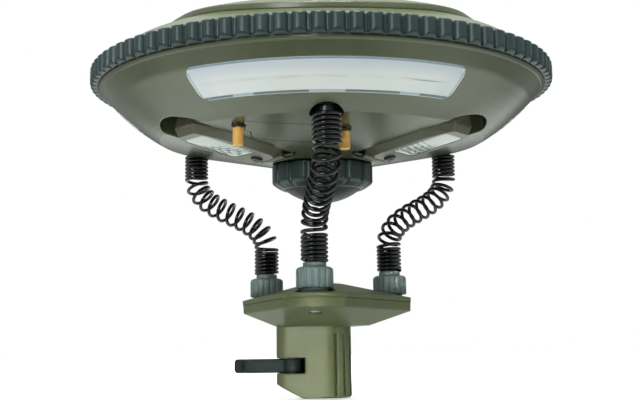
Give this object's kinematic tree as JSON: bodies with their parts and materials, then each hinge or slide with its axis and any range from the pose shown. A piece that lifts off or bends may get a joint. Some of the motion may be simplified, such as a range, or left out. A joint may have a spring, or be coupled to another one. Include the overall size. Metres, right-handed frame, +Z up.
{
  "type": "solar camping lantern",
  "caption": "Disc-shaped solar lantern head with ribbed rim, light windows and fold-out spotlights, carried by coil springs on a lobed base with a pole socket and cam lever clamp",
  "frame": {"origin": "centre of the pole socket's mouth, at the bottom of the clamp", "axes": "+Z up along the pole, -Y towards the front lobe and the front spring, +X to the right; the head nods 4.7 degrees forward and is turned 8.3 degrees on its springs"},
  "size_m": [0.2999, 0.2997, 0.2347],
  "materials": {
    "shell_plastic": "satin moulded plastic, olive grey",
    "dark_plastic": "satin moulded plastic, dark slate",
    "clamp_plastic": "satin moulded plastic, olive green",
    "spotlight_plastic": "satin moulded plastic, brown olive",
    "black_plastic": "smooth black plastic",
    "spring_black": "gloss black coated spring steel",
    "window_diffuser": "frosted white plastic",
    "spotlight_lens": "clear moulded lens",
    "reflector_chrome": "bright metallised plastic",
    "panel_glass": "smooth glass over dark cells",
    "circuit_board": "printed board",
    "battery_wrap": "shrink wrapped pack",
    "rubber": "plain black rubber",
    "steel": "bright zinc plated steel",
    "brass": "knurled brass"
  },
  "bodies": {
    "base": {"clamp_body": "clamp_plastic", "base_cover": "clamp_plastic", "cover_screws": "steel", "lever_pin": "steel", "spring_nuts": "dark_plastic", "spring_ferrules": "black_plastic", "spring_front": "spring_black", "spring_right": "spring_black", "spring_left": "spring_black"},
    "lever": {"cam_lever": "dark_plastic"},
    "pad": {"clamp_pad": "rubber"},
    "head": {"lower_shell": "shell_plastic", "upper_shell": "shell_plastic", "rim_ring": "dark_plastic", "panel_bezel": "shell_plastic", "solar_panel": "panel_glass", "window_front": "window_diffuser", "window_right": "window_diffuser", "window_left": "window_diffuser", "light_strips": "circuit_board", "spring_sockets": "black_plastic", "main_board": "circuit_board", "battery_pack": "battery_wrap", "shell_screws": "steel", "knob_switch": "black_plastic", "pod_hinge_pins": "steel", "hatch_washers": "rubber"},
    "knob": {"control_knob": "dark_plastic", "knob_cap": "dark_plastic"},
    "hatch": {"battery_hatch": "shell_plastic"},
    "screw_right": {"hatch_screw_right": "brass"},
    "screw_left": {"hatch_screw_left": "brass"},
    "spotlight_right": {"pod_body_right": "spotlight_plastic", "pod_lens_right": "spotlight_lens", "pod_reflector_right": "reflector_chrome"},
    "button_right": {"pod_button_right": "rubber"},
    "spotlight_left": {"pod_body_left": "spotlight_plastic", "pod_lens_left": "spotlight_lens", "pod_reflector_left": "reflector_chrome"},
    "button_left": {"pod_button_left": "rubber"},
    "spotlight_rear": {"pod_body_rear": "spotlight_plastic", "pod_lens_rear": "spotlight_lens", "pod_reflector_rear": "reflector_chrome"},
    "button_rear": {"pod_button_rear": "rubber"}
  },
  "joints": [
    {"name": "head_tilt", "type": "hinge", "parent": "base", "child": "head", "pos_m": [0, 0, 0.125], "axis": [1, 0, 0], "range_deg": [-12, 12], "stiffness_Nm_per_rad": 12, "deforming": ["spring_front", "spring_right", "spring_left"]},
    {"name": "lever_swing", "type": "hinge", "parent": "base", "child": "lever", "pos_m": [-0.02, -0.008, 0.0203], "axis": [0, 0, 1], "range_deg": [0, 90]},
    {"name": "pad_press", "type": "slide", "parent": "base", "child": "pad", "axis": [0.9285, 0.3714, 0], "range_m": [0, 0.001]},
    {"name": "knob_turn", "type": "hinge", "parent": "head", "child": "knob", "pos_m": [0.00087, -0.00634, 0.15058], "axis": [0.0111, -0.0812, 0.9966], "range_deg": [0, 240]},
    {"name": "spotlight_right_fold", "type": "hinge", "parent": "head", "child": "spotlight_right", "pos_m": [0.03551, -0.02505, 0.15151], "axis": [0.4729, 0.8786, 0.0663], "range_deg": [0, 60]},
    {"name": "button_right_press", "type": "slide", "parent": "spotlight_right", "child": "button_right", "axis": [-0.1579, 0.0105, 0.9874], "range_m": [0, 0.001], "stiffness_N_per_m": 300},
    {"name": "spotlight_left_fold", "type": "hinge", "parent": "head", "child": "spotlight_left", "pos_m": [-0.02747, -0.03368, 0.15151], "axis": [0.6918, -0.7191, -0.0663], "range_deg": [0, 60]},
    {"name": "button_left_press", "type": "slide", "parent": "spotlight_left", "child": "button_left", "axis": [0.1493, 0.0526, 0.9874], "range_m": [0, 0.001], "stiffness_N_per_m": 300},
    {"name": "spotlight_rear_fold", "type": "hinge", "parent": "head", "child": "spotlight_rear", "pos_m": [-0.00441, 0.03223, 0.15663], "axis": [-0.9907, -0.1357, 0], "range_deg": [0, 60]},
    {"name": "button_rear_press", "type": "slide", "parent": "spotlight_rear", "child": "button_rear", "axis": [0.0368, -0.2689, 0.9625], "range_m": [0, 0.001], "stiffness_N_per_m": 300},
    {"name": "hatch_lift", "type": "slide", "parent": "head", "child": "hatch", "axis": [-0.0111, 0.0812, -0.9966], "range_m": [0, 0.025]},
    {"name": "screw_right_turn", "type": "hinge", "parent": "head", "child": "screw_right", "pos_m": [0.0228, -0.08615, 0.1539], "axis": [0.0111, -0.0812, 0.9966], "continuous": true},
    {"name": "screw_left_turn", "type": "hinge", "parent": "head", "child": "screw_left", "pos_m": [-0.03731, -0.09459, 0.15649], "axis": [0.0111, -0.0812, 0.9966], "continuous": true}
  ],
  "couplings": [
    {"joint": "pad_press", "follows": "lever_swing", "m_per_rad": 0.00063662}
  ]
}
